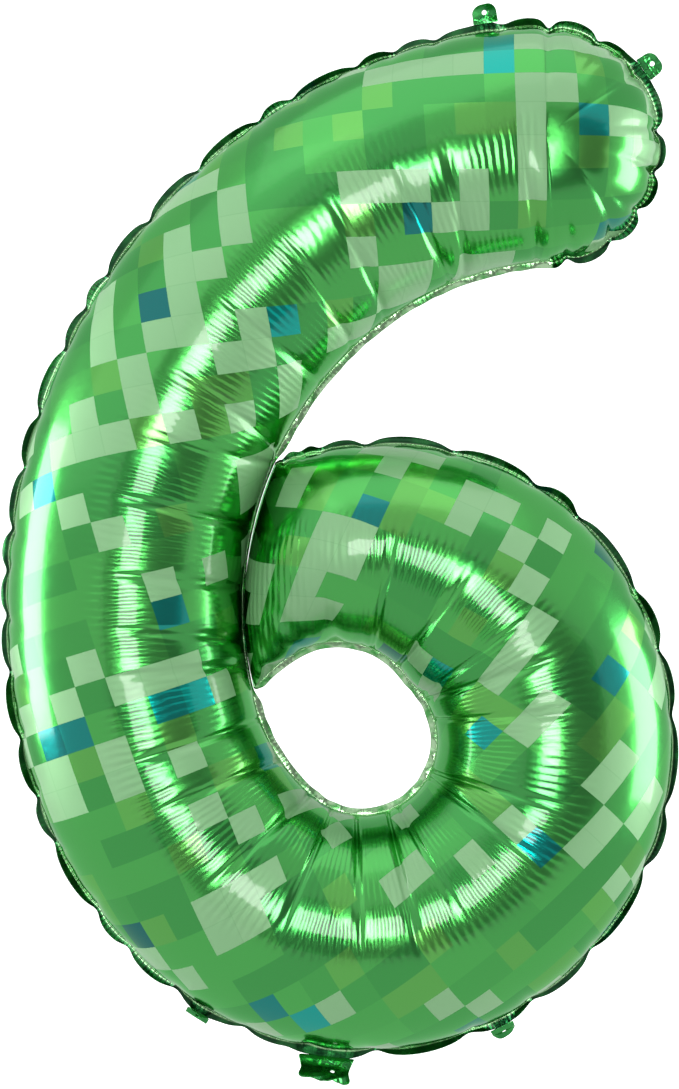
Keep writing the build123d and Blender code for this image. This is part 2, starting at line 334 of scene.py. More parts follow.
def scalloped(film, run):
    """Film's points with the outer weld pulled in at its pinch places and bulging a little between them."""
    rng = np.random.default_rng(SEED)
    ring = np.concatenate([film.outer_weld[::-1], film.tip_weld])
    pinches = run[ring].min() + crease_places(np.ptp(run[ring]), *PINCH_SPACING, rng)
    depths = rng.uniform(*PINCH_DEPTH, len(pinches)) * np.where(pinches < 0, TIP_PINCH, 1.0)
    at = run[ring][:, None]
    pull = (depths * np.exp(-np.abs(at - pinches) / PINCH_REACH)).max(1)
    points = film.points.copy()
    neighbour = np.concatenate([film.grid[::-1, 2], film.fan[1:-1, -3]])
    out = points[ring] - points[neighbour]
    out[:, 1] = 0
    out /= np.linalg.norm(out, axis=1)[:, None]
    points[ring] += out * (SCALLOP - pull)[:, None]
    return points, pinches


def round_off_tip(film):
    """Evens out the crest where the strip meets the tip's fan."""
    points = film.points.copy()
    close, _ = film_edges(film)
    count = np.bincount(close.ravel(), minlength=len(points))
    pole = points[film.grid[0, ACROSS // 2]]
    away = np.linalg.norm((points - pole)[:, [0, 2]], axis=1)
    near = np.exp(-((away / TIP_SMOOTH_REACH) ** 2))
    for _ in range(TIP_SMOOTHING):
        mean = np.zeros_like(points)
        for k in range(3):
            mean[:, k] += np.bincount(close[:, 0], points[close[:, 1], k], len(points))
            mean[:, k] += np.bincount(close[:, 1], points[close[:, 0], k], len(points))
        points[:, 1] += (near * 0.8) * (mean[:, 1] / count - points[:, 1])
    return points


def crease_profile(run, centre, width):
    return np.exp(-np.hypot(run - centre, SOFT_BOTTOM) / width)


def crease_depth(share, run, pinches, rng):
    """Depth of the long creases from the crest to the inner weld, and of the short ones at the outer weld."""
    depth = np.zeros(len(share))
    for at in crease_places(run.max(), *LONG_SPACING, rng):
        begin = rng.uniform(*LONG_BEGIN)
        centre = at + rng.uniform(*LONG_LEAN) * (share - begin)
        grow = np.clip((share - begin) / LONG_GROWTH, 0, 1) * np.clip((1 - share) / 0.06, 0, 1)
        size, width = rng.uniform(*LONG_SIZE), rng.uniform(*LONG_WIDTH)
        depth += size * grow * crease_profile(run, centre, width)
    between = crease_places(np.ptp(run), *SMALL_SPACING, rng) + run.min()
    folds = [(at, 1.0) for at in pinches] + [(at, rng.uniform(*SMALL_STRENGTH)) for at in between]
    for at, strength in folds:
        tip = TIP_CREASE if at < 0 else 1.0
        length = rng.uniform(*SHORT_LENGTH) * strength**0.5 * tip
        centre = at + rng.uniform(*SHORT_LEAN) * share
        fade = np.clip(share / 0.03, 0, 1) * np.clip(1 - share / length, 0, 1)
        size = rng.uniform(*SHORT_SIZE) * strength * tip
        width = SHORT_WIDTH + TIP_WIDENING * (tip - 1)
        depth += size * fade * (share < 0.5) * crease_profile(run, centre, width)
    return depth


def inflate(film, seed, welds, share, run, pinches):
    """Points of the film after its spare length has gathered into wrinkles. The welds stay where they are."""
    rng = np.random.default_rng(seed)
    close, far = film_edges(film)
    along = along_vectors(film)
    spare = spare_length(share, run)
    tip_hold = HOLD + (TIP_HOLD - HOLD) * np.clip(-run / TIP_RAMP, 0, 1)
    outer_hold = HOLD + (OUTER_HOLD - HOLD) * np.clip((OUTER_HOLD_END - share) / 0.1, 0, 1)
    hold = np.maximum(tip_hold, outer_hold)[:, None]
    corners = np.concatenate([film.quads[:, [0, 1, 2]], film.quads[:, [0, 2, 3]], film.triangles])
    smooth = round_off_tip(film)
    weld = np.unique(np.concatenate([film.inner_weld, film.outer_weld, film.tip_weld, film.end_weld]))
    depth = crease_depth(share, run, pinches, rng)
    target = smooth - normals_of(smooth, corners) * depth[:, None]
    target[weld] = welds[weld]
    rest = rest_lengths(target, close, along, spare)
    rest_far = rest_lengths(target, far, along, spare) * FAR_SHARE
    count = np.bincount(close.ravel(), minlength=len(target)).astype(float)
    points = target + rng.normal(0, START_NOISE, target.shape)
    before = points.copy()
    for step in range(PASSES):
        if step % NORMALS_EVERY == 0:
            normal = normals_of(points, corners)
        moved = points + (points - before) * MOMENTUM + normal * PRESSURE + (target - points) * hold
        before = points
        for _ in range(2):
            moved = project(moved, close, rest, count, 1.0, False)
            moved = project(moved, far, rest_far, count, FAR_PULL, True)
            moved[weld] = welds[weld]
            moved[:, 1] = np.minimum(moved[:, 1], 0)
        points = moved
    # the tip's crest stays smooth
    pole = film.grid[0, ACROSS // 2]
    away = np.linalg.norm(target - target[pole], axis=1)
    near = np.exp(-((away / CREST_SMOOTH_REACH) ** 2))[:, None]
    return points + near * (target - points)


def rest_lengths(target, pairs, along, spare):
    """Lengths that the film keeps: the target's, longer along the tube by the spare length there."""
    d = target[pairs[:, 1]] - target[pairs[:, 0]]
    t = along[pairs[:, 0]] + along[pairs[:, 1]]
    t /= np.maximum(np.linalg.norm(t, axis=1), 1e-9)[:, None]
    e = (spare[pairs[:, 0]] + spare[pairs[:, 1]]) / 2
    part = (d * t).sum(1)
    return np.sqrt((d**2).sum(1) + part**2 * ((1 + e) ** 2 - 1))


def project(points, pairs, rest, count, strength, only_short):
    """Moves each pair towards its kept length, all pairs at once."""
    a, b = pairs[:, 0], pairs[:, 1]
    d = points[b] - points[a]
    length = np.sqrt((d * d).sum(1))
    pull = (1 - rest / np.maximum(length, 1e-9)) * 0.5 * strength
    if only_short:
        pull = np.minimum(pull, 0)
    d *= pull[:, None]
    shift = np.zeros_like(points)
    for k in range(3):
        shift[:, k] = np.bincount(a, d[:, k], len(points)) - np.bincount(b, d[:, k], len(points))
    return points + shift / count[:, None] * OVERSTEP


def spare_length(share, run):
    """Extra length along the tube, as a share of the shape's own. The tip's is round its weld."""
    tip = np.clip(-run / TIP_RAMP, 0, 1)
    outer = OUTER_SPARE * (1 + tip) * np.exp(-share / (SPARE_FADE + TIP_SPARE_FADE * tip))
    inner = INNER_SPARE / (1 + np.exp(-(share - INNER_SPARE_START) / SPARE_FADE))
    inner = inner * np.clip(run / TIP_RAMP, 0, 1)
    return outer + inner * (1 - 0.5 * share)


# ---------------------------------------------------------------- meshes
def mesh_object(name, points, faces, **maps):
    """Smooth-shaded mesh. Each map has one pair of coordinates per point."""
    mesh = bpy.data.meshes.new(name)
    mesh.from_pydata([tuple(p) for p in points], [], [tuple(int(v) for v in f) for f in faces])
    corner = np.empty(len(mesh.loops), dtype=np.int32)
    mesh.loops.foreach_get("vertex_index", corner)
    for map_name, pairs in maps.items():
        layer = mesh.uv_layers.new(name=map_name)
        layer.data.foreach_set("uv", np.asarray(pairs, dtype=np.float32)[corner].ravel())
    mesh.shade_smooth()
    obj = bpy.data.objects.new(name, mesh)
    bpy.context.scene.collection.objects.link(obj)
    return obj


def subdivide(obj, levels=1):
    modifier = obj.modifiers.new("subdivision", "SUBSURF")
    modifier.levels = modifier.render_levels = levels


def thicken(obj, thickness):
    modifier = obj.modifiers.new("thickness", "SOLIDIFY")
    modifier.thickness = thickness
    modifier.offset = 0


def dress(obj, material, body, slot, *nodes):
    """Material, body and replaced CAD nodes of a piece. The slot argument is not used."""
    obj.data.materials.append(material)
    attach(obj, body)
    if nodes:
        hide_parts(*nodes)


# ---------------------------------------------------------------- folding places
FOLD_REACH = 0.1104  # centre line to a fold line
TAB_WIDTH, TAB_LENGTH, TAB_CORNER = 0.022, 0.017, 0.009
TAIL_WIDTH, TAIL_LENGTH, TAIL_CORNER = 0.050, 0.028, 0.007
TAIL_ANGLE = 263.5
ROOT_GAP = 0.0001  # the rim stops this far short of a fold line


class Fold:
    """Plane of a tab or the tail at rest: x along its fold line, y away from the balloon, z to its front."""

    def __init__(self, centre, angle, reach, width, fold):
        out = direction(angle)
        point = centre + out * reach
        side = direction(angle - 90)
        f = math.radians(fold)
        self.origin = np.array([point[0], 0, point[1]])
        self.x = np.array([side[0], 0, side[1]])
        self.z = np.array([-math.sin(f) * out[0], -math.cos(f), -math.sin(f) * out[1]])
        self.y = np.cross(self.z, self.x)
        self.flat_out = np.array([out[0], 0, out[1]])
        self.width = width

    def place(self, local):
        """Frame coordinates of points in the plane's coordinates."""
        local = np.asarray(local)
        return self.origin + local[:, :1] * self.x + local[:, 1:2] * self.y + local[:, 2:] * self.z


STEM_CENTRE, STEM_RADIUS = SPINE.arcs[0][:2]
LOOP_CENTRE, LOOP_RADIUS = SPINE.arcs[3][:2]
FOLDS = {
    "crown": Fold(STEM_CENTRE, 98.5, STEM_RADIUS + FOLD_REACH, TAB_WIDTH, 0),
    "tip": Fold(START, 36.0, FOLD_REACH, TAB_WIDTH, 0),
    "base_left": Fold(LOOP_CENTRE, 239.0, LOOP_RADIUS + FOLD_REACH, TAB_WIDTH, 78.0),
    "base_right": Fold(LOOP_CENTRE, 296.0, LOOP_RADIUS + FOLD_REACH, TAB_WIDTH, -55.0),
    "tail": Fold(LOOP_CENTRE, TAIL_ANGLE, LOOP_RADIUS + FOLD_REACH, TAIL_WIDTH, 35.0),
}


# ---------------------------------------------------------------- welded rim
RIM_SHARES = np.array((0.0, 0.14, 0.38, 0.62, 0.84, 1.0))  # of the way from the weld to the rim's edge
RIM_THICKNESS = 0.0004
END_RIM = 0.0014  # width at the loop's closed end
NARROWEST = 0.16  # width at a pinch, as a share of RIM
SCALLOP_WIDTH = (0.75, 1.1)  # added to it between two pinches
SCALLOP_LIFT = (0.0012, 0.0042)  # each scallop leans out of the seam plane
INNER_WIDTH = 0.92
INNER_LIFT = 0.0015
SAME_PART = 0.07  # along the rim: places nearer than this don't narrow each other
ROOM_SHARE = 0.42
LAND_MARGIN = 0.003  # the land under a folding piece is this much wider on each side
LAND_DEPTH = 0.03
RUN_OUT = 0.03  # the first and last scallop reach this far past the weld's ends


def make_rim(film, welds, run, pinches, rng):
    """Welded rim round the outline: scalloped outside, even inside, narrow where the loop's end rests."""
    ring = np.concatenate(
        [film.inner_weld[::-1], film.tip_weld[::-1], film.outer_weld, film.end_weld[1:-1]]
    )
    inner, tip, outer = len(film.inner_weld), len(film.tip_weld), len(film.outer_weld)
    end = inner + tip + outer
    line = welds[ring][:, [0, 2]]
    tangent = np.roll(line, -3, 0) - np.roll(line, 3, 0)
    tangent /= np.linalg.norm(tangent, axis=1)[:, None]
    x, z = line.T
    area = (x * np.roll(z, -1) - np.roll(x, -1) * z).sum()
    out = np.stack([tangent[:, 1], -tangent[:, 0]], -1) * np.sign(area)
    along = np.concatenate([[0], np.cumsum(np.linalg.norm(np.diff(line, axis=0), axis=1))])
    # width
    at = run[ring]
    ends = np.concatenate([[at.min() - RUN_OUT], pinches, [at.max() + RUN_OUT]])
    part = np.clip(np.searchsorted(pinches, at), 0, len(pinches))
    phase = np.clip((at - ends[part]) / (ends[part + 1] - ends[part]), 0, 1)
    arch = np.sin(np.pi * phase)
    width = RIM * (NARROWEST + rng.uniform(*SCALLOP_WIDTH, len(pinches) + 1)[part] * arch**0.55)
    a = along[:inner]
    width[:inner] = RIM * INNER_WIDTH * (1 + 0.06 * np.sin(a * 190 + 2 * np.sin(a * 71)))
    width[end:] = END_RIM
    # height
    lifts = rng.uniform(*SCALLOP_LIFT, len(pinches) + 1) * rng.choice((-1, -1, 1), len(pinches) + 1)
    lift = lifts[part] * arch**0.7
    lift[:inner] = INNER_LIFT + 0.0007 * np.sin(a * 240 + 3 * np.sin(a * 53))
    lift[end:] = 0
    # room beside the other parts of the rim
    for k in range(len(line)):
        apart = np.abs(along - along[k])
        others = np.minimum(apart, along[-1] - apart) > SAME_PART
        d = line[others] - line[k]
        ahead = d @ out[k] > 0.2 * np.linalg.norm(d, axis=1)
        if ahead.any():
            room = ROOM_SHARE * np.linalg.norm(d[ahead], axis=1).min()
            width[k] = min(width[k], room)
    # straight lands under the folding pieces
    points3 = np.stack([line[:, 0], np.zeros(len(line)), line[:, 1]], -1)
    for fold in FOLDS.values():
        d = points3 - fold.origin
        side, depth = d @ fold.x, -(d @ fold.flat_out)
        here = np.clip((fold.width / 2 + LAND_MARGIN - np.abs(side)) / LAND_MARGIN, 0, 1)
        here *= np.abs(depth) < LAND_DEPTH
        width = width * (1 - here) + (depth - ROOT_GAP) * here
        lift *= 1 - here
        out = out * (1 - here)[:, None] + fold.flat_out[[0, 2]] * here[:, None]
    kernel = np.ones(3) / 3
    width = np.convolve(np.concatenate([width[-1:], width, width[:1]]), kernel, "valid")
    plane = line[:, None] + out[:, None] * (width[:, None] * RIM_SHARES)[..., None]
    height = lift[:, None] * RIM_SHARES**1.5
    points = np.stack([plane[..., 0], height, plane[..., 1]], -1).reshape(-1, 3)
    n, m = len(line), len(RIM_SHARES)
    index = np.arange(n * m).reshape(n, m)
    nxt = np.roll(index, -1, 0)
    faces = np.stack([index[:, :-1], nxt[:, :-1], nxt[:, 1:], index[:, 1:]], -1).reshape(-1, 4)
    strip = np.stack([np.broadcast_to(along[:, None], (n, m)), np.broadcast_to(RIM_SHARES, (n, m))], -1)
    obj = mesh_object("welded_rim", points, faces, rim_strip=strip.reshape(-1, 2))
    subdivide(obj)
    thicken(obj, RIM_THICKNESS)
    return obj, along[inner]


# ---------------------------------------------------------------- tabs and tail
SPOKES = 96
RINGS = 12
FOIL_THICKNESS = 0.0005
ROOT_LAP = 0.0003  # how far a folding piece reaches past its fold line
CRUMPLE_SCALE = 0.006
HOLE_FLAT = 0.003  # crumpling comes in over this distance from the hole
SHIFT_RAMP = 0.004  # a ply's shift comes in over this distance from the root
CURL_RISE, CURL_DRAW = 0.55, 0.4  # how far a curl lifts the end, and draws it in
WAVE_RAMP = 0.35  # share of the length over which the wave comes in


def tongue_reach(origin, angles, width, length, corner):
    """Distances from a point inside a tongue to its outline, in the directions of angles."""
    low, high = np.zeros(len(angles)), np.full(len(angles), 0.08)
    ray = np.stack([np.cos(angles), np.sin(angles)], -1)
    for _ in range(40):
        middle = (low + high) / 2
        q = origin + ray * middle[:, None]
        radius = np.where(q[:, 1] > length - corner, corner, 0.0)
        dx = np.abs(q[:, 0]) - (width / 2 - radius)
        dy = np.abs(q[:, 1] - length / 2) - (length / 2 - radius)
        beyond = np.hypot(np.maximum(dx, 0), np.maximum(dy, 0)) + np.minimum(np.maximum(dx, dy), 0) > radius
        high = np.where(beyond, middle, high)
        low = np.where(beyond, low, middle)
    return low


def crumple(x, y, rng, size, scale):
    """Smooth random height with a few sharp folds."""
    height = np.zeros_like(x)
    for k in range(5):
        a, phase = rng.uniform(0, math.pi), rng.uniform(0, 6)
        wave = (x * math.cos(a) + y * math.sin(a)) / scale * (1 + 0.5 * k) + phase
        height += (1 - 2 * np.abs(np.sin(wave))) / (1 + 0.7 * k)
    return height * size


def tongue(name, fold, size, hole, hole_radius, seed, curl, twist, crush, wave, neck=0.04, shift=0.0):
    """Foil tongue on its fold line, with a punched hole. Curl bends its end, and neck narrows it."""
    width, length, corner = size
    rng = np.random.default_rng(seed)
    angles = np.linspace(0, 2 * math.pi, SPOKES, endpoint=False)
    reach = tongue_reach(np.array(hole), angles, width, length, corner)
    share = np.linspace(0, 1, RINGS + 1)
    radius = hole_radius + (reach - hole_radius)[:, None] * share
    x = hole[0] + np.cos(angles)[:, None] * radius
    y = hole[1] + np.sin(angles)[:, None] * radius
    free = np.clip(y / length, 0, 1)
    away = np.clip((radius - hole_radius) / HOLE_FLAT, 0, 1)
    z = crumple(x, y, rng, crush, CRUMPLE_SCALE) * free * away
    z += twist * (x / (width / 2)) * free**1.5
    bend = curl * free**2
    z += shift * np.clip(y / SHIFT_RAMP, 0, 1) + length * np.sin(bend) * free * CURL_RISE
    y = y - length * (1 - np.cos(bend)) * free * CURL_DRAW
    z += wave * np.sin(2 * math.pi * free) * np.clip(free / WAVE_RAMP, 0, 1)
    x = x * (1 - neck * np.sin(math.pi * free))
    local = np.stack([x.ravel(), y.ravel() - ROOT_LAP, z.ravel()], -1)
    index = np.arange(SPOKES * (RINGS + 1)).reshape(SPOKES, RINGS + 1)
    nxt = np.roll(index, -1, 0)
    faces = np.stack([index[:, :-1], index[:, 1:], nxt[:, 1:], nxt[:, :-1]], -1).reshape(-1, 4)
    obj = mesh_object(name, fold.place(local), faces)
    subdivide(obj)
    thicken(obj, FOIL_THICKNESS)
    return obj


VALVE_WIDTH, VALVE_LENGTH = 0.026, 0.114
VALVE_INSET = 0.0014  # from the fold line to the sleeve's mouth
VALVE_FLAT = 0.012  # its first stretch lies flat between the films
VALVE_GRID = (15, 60)


def make_valve(rng):
    """Flat sleeve of two soft plies from the tail into the balloon: flat at its mouth, wavy inside."""
    place = Fold(LOOP_CENTRE, TAIL_ANGLE, LOOP_RADIUS + FOLD_REACH - VALVE_INSET, VALVE_WIDTH, 0)
    columns = np.linspace(-VALVE_WIDTH / 2, VALVE_WIDTH / 2, VALVE_GRID[0])
    rows = -np.linspace(0, VALVE_LENGTH, VALVE_GRID[1])
    x, y = np.meshgrid(columns, rows, indexing="ij")
    free = np.clip((-y - VALVE_FLAT) / 0.05, 0, 1)
    bow = free * 0.002 * np.sin(-y / 0.011 + rng.uniform(0, 6)) + free * 0.0008 * np.sin(x / 0.004)
    points, faces = [], []
    index = np.arange(x.size).reshape(x.shape)
    quads = np.stack([index[:-1, :-1], index[1:, :-1], index[1:, 1:], index[:-1, 1:]], -1).reshape(-1, 4)
    for side in (-1, 1):
        gap = side * (0.00008 + 0.0009 * free * np.cos(math.pi * x / VALVE_WIDTH))
        points.append(place.place(np.stack([x.ravel(), y.ravel(), (bow + gap).ravel()], -1)))
        faces.append(quads[:, ::side] + (x.size if side > 0 else 0))
    return mesh_object("valve_sleeve", np.concatenate(points), np.concatenate(faces).tolist())


# ---------------------------------------------------------------- materials
class Paint:
    """Principled material with short calls for its nodes."""

    def __init__(self, name, **sockets):
        self.material = bpy.data.materials.new(name)
        self.material.use_nodes = True
        self.tree = self.material.node_tree
        self.bsdf = self.tree.nodes["Principled BSDF"]
        for socket, value in sockets.items():
            self.bsdf.inputs[socket.replace("_", " ")].default_value = value

    def node(self, kind, inputs=None, **settings):
        node = self.tree.nodes.new(kind)
        for key, value in settings.items():
            setattr(node, key, value)
        for socket, value in (inputs or {}).items():
            if isinstance(value, bpy.types.NodeSocket):
                self.tree.links.new(value, node.inputs[socket])
            else:
                node.inputs[socket].default_value = value
        return node

    def math(self, operation, a, b=0.0):
        return self.node("ShaderNodeMath", {0: a, 1: b}, operation=operation).outputs[0]

    def vector(self, operation, a, b):
        return self.node("ShaderNodeVectorMath", {0: a, 1: b}, operation=operation).outputs[0]

    def mix(self, share, a, b):
        """Colour a, or b where share is 1."""
        node = self.node("ShaderNodeMix", {"Factor": share, 6: a, 7: b}, data_type="RGBA")
        return node.outputs[2]

    def blend(self, share, a, b):
        """Number a, or b where share is 1."""
        return self.node("ShaderNodeMix", {"Factor": share, 2: a, 3: b}, data_type="FLOAT").outputs[0]

    def noise(self, vector, scale, detail=3.0):
        inputs = {"Vector": vector, "Scale": scale, "Detail": detail}
        return self.node("ShaderNodeTexNoise", inputs).outputs[0]

    def step(self, value, low, high):
        """0 at low and beyond it, 1 at high and beyond it, and straight between them."""
        inputs = {"Value": value, "From Min": low, "From Max": high}
        return self.node("ShaderNodeMapRange", inputs, clamp=True).outputs[0]

    def uv(self, name):
        return self.node("ShaderNodeUVMap", uv_map=name).outputs[0]

    def place(self):
        return self.node("ShaderNodeTexCoord").outputs["Object"]

    def link(self, value, socket):
        self.tree.links.new(value, self.bsdf.inputs[socket])

    def bump(self, height, distance, strength=1.0):
        node = self.node("ShaderNodeBump", {"Height": height, "Distance": distance, "Strength": strength})
        self.link(node.outputs[0], "Normal")


EDGE_TINT = (0.4, 0.9, 0.45, 1)
GREEN = (0.068, 0.42, 0.080, 1)
DEEP = (0.045, 0.335, 0.066, 1)
LIME = (0.18, 0.52, 0.09, 1)
SAGE, DARK_SAGE = (0.252, 0.49, 0.243, 1), (0.195, 0.44, 0.205, 1)
TEAL, BRIGHT_TEAL = (0.0, 0.115, 0.118, 1), (0.0, 0.40, 0.33, 1)
PRINT_LINE = (0.03, 0.22, 0.05, 1)
# pale blocks: squares wide and high, salt of their random numbers, and share of the film
PALE_BLOCKS = ((1, 1, 1, 0.105), (2, 1, 2, 0.08), (1, 2, 3, 0.035), (3, 1, 4, 0.03))
TEAL_SHARE, LIME_SHARE = 0.036, 0.16
FOIL_METAL, PALE_METAL = 1.0, 0.38
FOIL_ROUGH, PALE_ROUGH = 0.21, 0.46
RIPPLE_HEIGHT = 0.00021
RIM_SHADE_DARK, RIM_SHADE_GREEN = (0.003, 0.045, 0.012, 1), (0.012, 0.11, 0.025, 1)  # painted shade: outside the digit the rim is painted dark
RIM_HIGHLIGHT_PALE, RIM_MID = (0.46, 0.70, 0.42, 1), (0.10, 0.42, 0.11, 1)  # painted highlight: inside its curl the rim is painted pale
# pressed weld line, painted paler as a highlight as well
RIM_WELD_LINE_HIGHLIGHT = (0.40, 0.64, 0.34, 1)
RIB_LENGTH = 0.0042


def mosaic_foil(name, seed):
    """Metallised green film with a printed mosaic of squares, some of them joined in short runs."""
    paint = Paint(name, Coat_Weight=0.7, Coat_Roughness=0.08, Coat_IOR=1.45, Specular_Tint=EDGE_TINT)
    cells = paint.vector("SCALE", paint.uv("flat_sheet"), (0, 0, 0))
    cells.node.inputs["Scale"].default_value = 1 / CELL
    cells = paint.vector("ADD", cells, (60.0 + seed, 60.0 + 2 * seed, 0))

    def chance(wide, high, salt):
        """One random number for each block of wide by high squares."""
        block = paint.vector("DIVIDE", cells, (wide, high, 1))
        block = paint.vector("FLOOR", block, (0, 0, 0))
        block = paint.vector("ADD", block, (salt * 17.31, salt * 5.17, 0))
        return paint.node("ShaderNodeTexWhiteNoise", {"Vector": block}, noise_dimensions="2D").outputs[0]

    def picked(wide, high, salt, share):
        return paint.math("LESS_THAN", chance(wide, high, salt), share)

    blocks = [picked(wide, high, salt + seed, share) for wide, high, salt, share in PALE_BLOCKS]
    pale = blocks[0]
    for block in blocks[1:]:
        pale = paint.math("MAXIMUM", pale, block)
    teal = picked(1, 1, 7 + seed, TEAL_SHARE)
    lime = picked(1, 1, 9 + seed, LIME_SHARE)
    tint = chance(2, 1, 11 + seed)
    colour = paint.mix(paint.step(tint, 0.35, 0.65), GREEN, DEEP)
    colour = paint.mix(paint.math("MULTIPLY", lime, 0.45), colour, LIME)
    shade = chance(1, 1, 13 + seed)
    sage = paint.mix(paint.math("MULTIPLY", shade, 0.35), SAGE, DARK_SAGE)
    colour = paint.mix(pale, colour, sage)
    colour = paint.mix(teal, colour, paint.mix(shade, TEAL, BRIGHT_TEAL))
    matte = paint.math("MULTIPLY", pale, paint.math("SUBTRACT", 1.0, teal))
    # squares' thin outlines
    inside = paint.vector("FRACTION", cells, (0, 0, 0))
    parts = paint.node("ShaderNodeSeparateXYZ", {0: inside})
    edge = None
    for part in (parts.outputs[0], parts.outputs[1]):
        away = paint.math("SUBTRACT", 0.5, paint.math("ABSOLUTE", paint.math("SUBTRACT", part, 0.5)))
        near = paint.math("SUBTRACT", 1.0, paint.step(away, 0.006, 0.022))
        edge = near if edge is None else paint.math("MAXIMUM", edge, near)
    edge = paint.math("MULTIPLY", edge, paint.math("MAXIMUM", pale, teal))
    colour = paint.mix(paint.math("MULTIPLY", edge, 0.16), colour, PRINT_LINE)
    paint.link(colour, "Base Color")
    paint.link(paint.blend(matte, FOIL_METAL, PALE_METAL), "Metallic")
    place = paint.place()
    uneven = paint.math("MULTIPLY", paint.noise(place, 45.0), 0.05)
    rough = paint.math("ADD", paint.blend(matte, FOIL_ROUGH, PALE_ROUGH), uneven)
    paint.link(rough, "Roughness")
    # fine ripples square to the tube, from its crest to the inner weld, but not at the tip
    tube = paint.node("ShaderNodeSeparateXYZ", {0: paint.uv("on_tube")})
    along, across = tube.outputs[0], tube.outputs[1]
    drift = paint.math("MULTIPLY", paint.noise(place, 22.0), 9.0)
    turn = paint.math("MULTIPLY", along, 2 * math.pi / RIPPLE)
    ripple = paint.math("SINE", paint.math("ADD", turn, drift))
    band = paint.math("MULTIPLY", paint.step(across, 0.38, 0.45), paint.step(across, 0.92, 0.62))
    patches = paint.step(paint.noise(place, 16.0), 0.34, 0.54)
    ripple = paint.math("MULTIPLY", ripple, paint.math("MULTIPLY", band, patches))
    ripple = paint.math("MULTIPLY", ripple, paint.step(along, 0.0, TIP_RAMP))
    wander = paint.math("MULTIPLY", paint.noise(place, 75.0, 2.0), 0.9)
    paint.bump(paint.math("ADD", ripple, wander), RIPPLE_HEIGHT)
    return paint.material


def rim_foil(inner_length):
    """Two films welded flat: a pale pressed line beside the film, partly painted highlight; outside the curl
    dark green, which is painted shade; inside the curl pale, which is painted highlight.
    """
    coat = {"Coat_Weight": 0.3, "Coat_Roughness": 0.06, "Coat_IOR": 1.45}
    paint = Paint("welded_rim_foil", Specular_Tint=EDGE_TINT, **coat)
    parts = paint.node("ShaderNodeSeparateXYZ", {0: paint.uv("rim_strip")})
    along, across = parts.outputs[0], parts.outputs[1]
    place = paint.place()
    patches = paint.step(paint.noise(place, 75.0), 0.42, 0.62)
    line = paint.math("SUBTRACT", 1.0, paint.step(across, 0.10, 0.24))
    # painted shade: the rim outside the curl is painted dark; painted highlight: the rim inside the curl is
    # painted pale
    outer = paint.mix(patches, RIM_SHADE_DARK, RIM_SHADE_GREEN)
    inside = paint.mix(patches, RIM_HIGHLIGHT_PALE, RIM_MID)
    inner_highlight = paint.math("LESS_THAN", along, inner_length)
    colour = paint.mix(inner_highlight, outer, inside)
    # the weld line: a real pressed line, painted pale as a highlight too
    colour = paint.mix(paint.math("MULTIPLY", line, 0.5), colour, RIM_WELD_LINE_HIGHLIGHT)
    paint.link(colour, "Base Color")
    paint.link(paint.blend(line, 0.95, 0.6), "Metallic")
    paint.link(paint.blend(patches, 0.16, 0.28), "Roughness")
    ribs = paint.math("SINE", paint.math("MULTIPLY", along, 2 * math.pi / RIB_LENGTH))
    wander = paint.noise(place, 120.0)
    height = paint.math("ADD", paint.math("MULTIPLY", ribs, 0.35), paint.math("MULTIPLY", wander, 2.0))
    paint.bump(height, 0.0002, 0.8)
    return paint.material


def cut_foil(name, colour, other, roughness):
    """Bare coloured foil of the tabs and the tail, crumpled from handling."""
    coat = {"Coat_Weight": 0.4, "Coat_Roughness": 0.05, "Coat_IOR": 1.45}
    paint = Paint(name, Metallic=0.95, Specular_Tint=EDGE_TINT, **coat)
    place = paint.place()
    patches = paint.step(paint.noise(place, 90.0), 0.35, 0.65)
    paint.link(paint.mix(patches, colour, other), "Base Color")
    paint.link(paint.blend(patches, roughness, roughness + 0.1), "Roughness")
    cracks = paint.node("ShaderNodeTexVoronoi", {"Vector": place, "Scale": 170.0}, feature="DISTANCE_TO_EDGE")
    folds = paint.math("MULTIPLY", paint.step(cracks.outputs[0], 0.0, 0.1), 0.5)
    paint.bump(paint.math("ADD", folds, paint.noise(place, 240.0)), 0.0003, 0.7)
    return paint.material


def clear_film():
    """Soft clear plastic of the valve."""
    paint = Paint("valve_plastic", Metallic=0.0, Roughness=0.3, Coat_Weight=0.2)
    place = paint.place()
    colour = paint.mix(paint.noise(place, 60.0), (0.72, 0.74, 0.73, 1), (0.84, 0.86, 0.85, 1))
    paint.link(colour, "Base Color")
    paint.bump(paint.noise(place, 150.0), 0.0002, 0.5)
    return paint.material


# ---------------------------------------------------------------- pieces
film = Film()
share, run = places_on_film(film)
welds, PINCHES = scalloped(film, run)


def film_piece(side, points, quads, triangles, material):
    """One printed film: side is front or back."""
    corners = quads.tolist() + triangles.tolist()
    on_tube = np.stack([run, share], -1)
    obj = mesh_object(f"film_{side}", points, corners, flat_sheet=film.flat, on_tube=on_tube)
    subdivide(obj)
    dress(obj, material, "balloon", f"printed_foil_{side}", f"{side}_foil")


FRONT_FOIL, BACK_FOIL = mosaic_foil("printed_foil", 0), mosaic_foil("printed_foil_back", 4)
front_points = inflate(film, SEED, welds, share, run, PINCHES)
film_piece("front", front_points, film.quads, film.triangles, FRONT_FOIL)
back_points = inflate(film, BACK_SEED, welds, share, run, PINCHES) * np.array([1, -1, 1])
film_piece("back", back_points, film.quads[:, ::-1], film.triangles[:, ::-1], BACK_FOIL)

rim, inner_length = make_rim(film, welds, run, PINCHES, np.random.default_rng(SEED + 1))
dress(rim, rim_foil(inner_length), "balloon", "heat_seal", "perimeter_seal")

